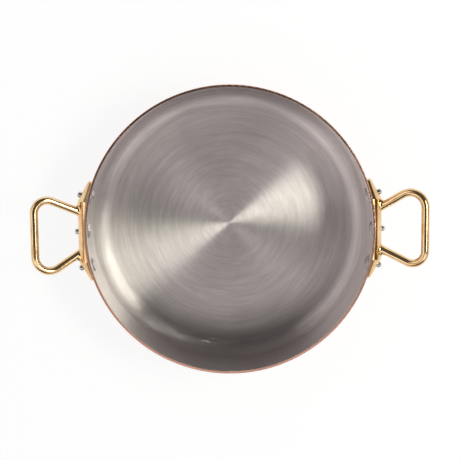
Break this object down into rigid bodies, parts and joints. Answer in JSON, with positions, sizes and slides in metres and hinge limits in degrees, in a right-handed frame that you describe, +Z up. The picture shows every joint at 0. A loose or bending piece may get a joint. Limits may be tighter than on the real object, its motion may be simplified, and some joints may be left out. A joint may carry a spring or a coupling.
{
  "type": "two-handled pan",
  "caption": "Wide round copper pan lined with brushed stainless steel, with a cast brass loop handle riveted to the wall on either side.",
  "frame": {"origin": "the middle of the underside, on the surface that the pan stands on", "axes": "+Z up, +X to the right handle, +Y to the top of the picture"},
  "size_m": [0.387, 0.285, 0.0835],
  "materials": {
    "copper": "copper, polished outside, with a bare rim edge",
    "brushed_lining": "stainless steel brushed in rings round the middle",
    "polished_brass": "cast brass, polished bright",
    "rivet_steel": "stainless steel, satin"
  },
  "bodies": {
    "root": {"copper_body": "copper", "steel_lining": "brushed_lining", "handle_left": "polished_brass", "handle_right": "polished_brass", "rivet_left_rear": "rivet_steel", "rivet_left_middle": "rivet_steel", "rivet_left_front": "rivet_steel", "rivet_right_rear": "rivet_steel", "rivet_right_middle": "rivet_steel", "rivet_right_front": "rivet_steel"}
  },
  "joints": []
}
